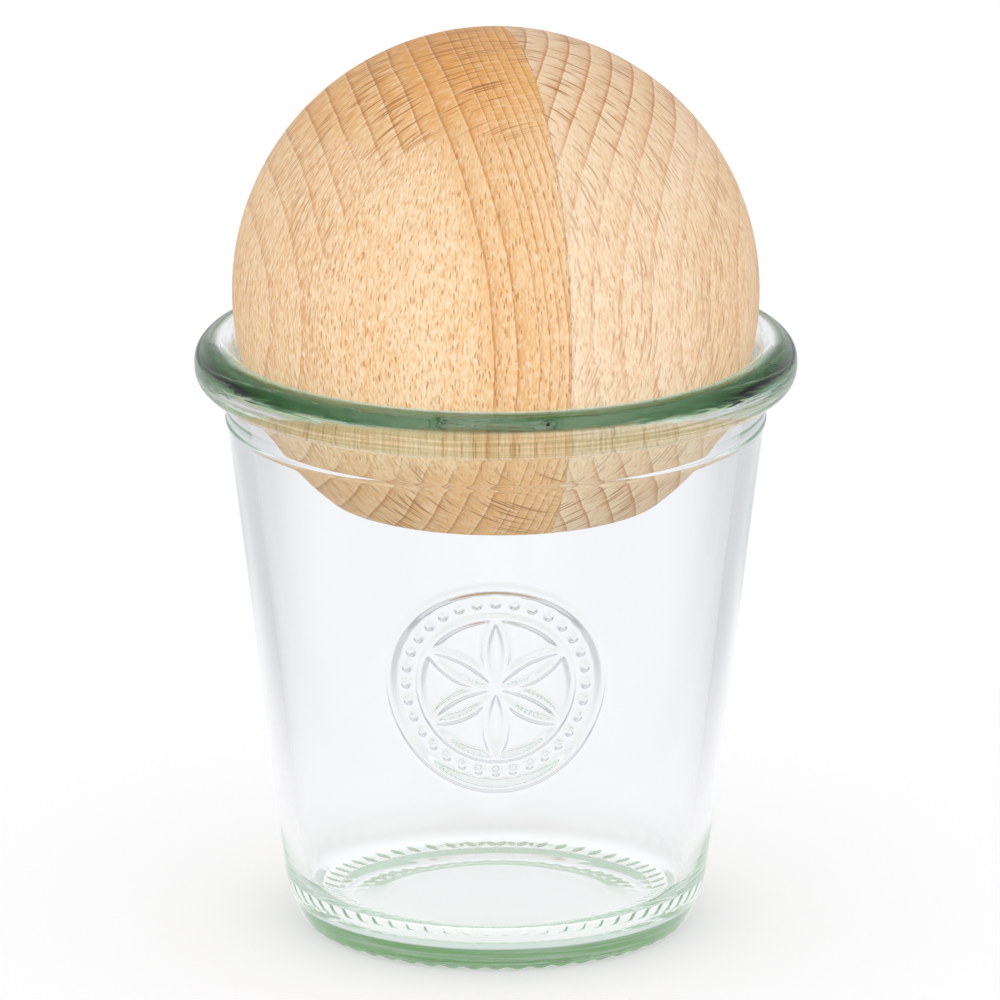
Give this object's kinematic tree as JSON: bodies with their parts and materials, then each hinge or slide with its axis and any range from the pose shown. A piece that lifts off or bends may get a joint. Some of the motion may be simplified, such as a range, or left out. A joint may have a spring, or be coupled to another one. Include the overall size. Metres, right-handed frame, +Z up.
{
  "type": "canning jar",
  "caption": "Tapered clear-glass preserving jar with a round bead rim, closed by a loose wooden ball that sits in its mouth.",
  "frame": {"origin": "on the jar's axis, on the plane that the jar stands on", "axes": "+Z up along the jar's axis through the ball, -Y towards the camera of the picture, +X to its right"},
  "size_m": [0.087, 0.087, 0.1321],
  "materials": {
    "clear_glass": "pressed, glossy",
    "beech_left": "turned and sanded, bare",
    "beech_right": "turned and sanded, bare"
  },
  "bodies": {
    "jar": {"glass_jar": "clear_glass"},
    "ball_lid": {"ball_left_half": "beech_left", "ball_right_half": "beech_right"}
  },
  "joints": [
    {"name": "ball_lift", "type": "slide", "parent": "jar", "child": "ball_lid", "axis": [0, 0, 1], "range_m": [0, 0.1]}
  ]
}
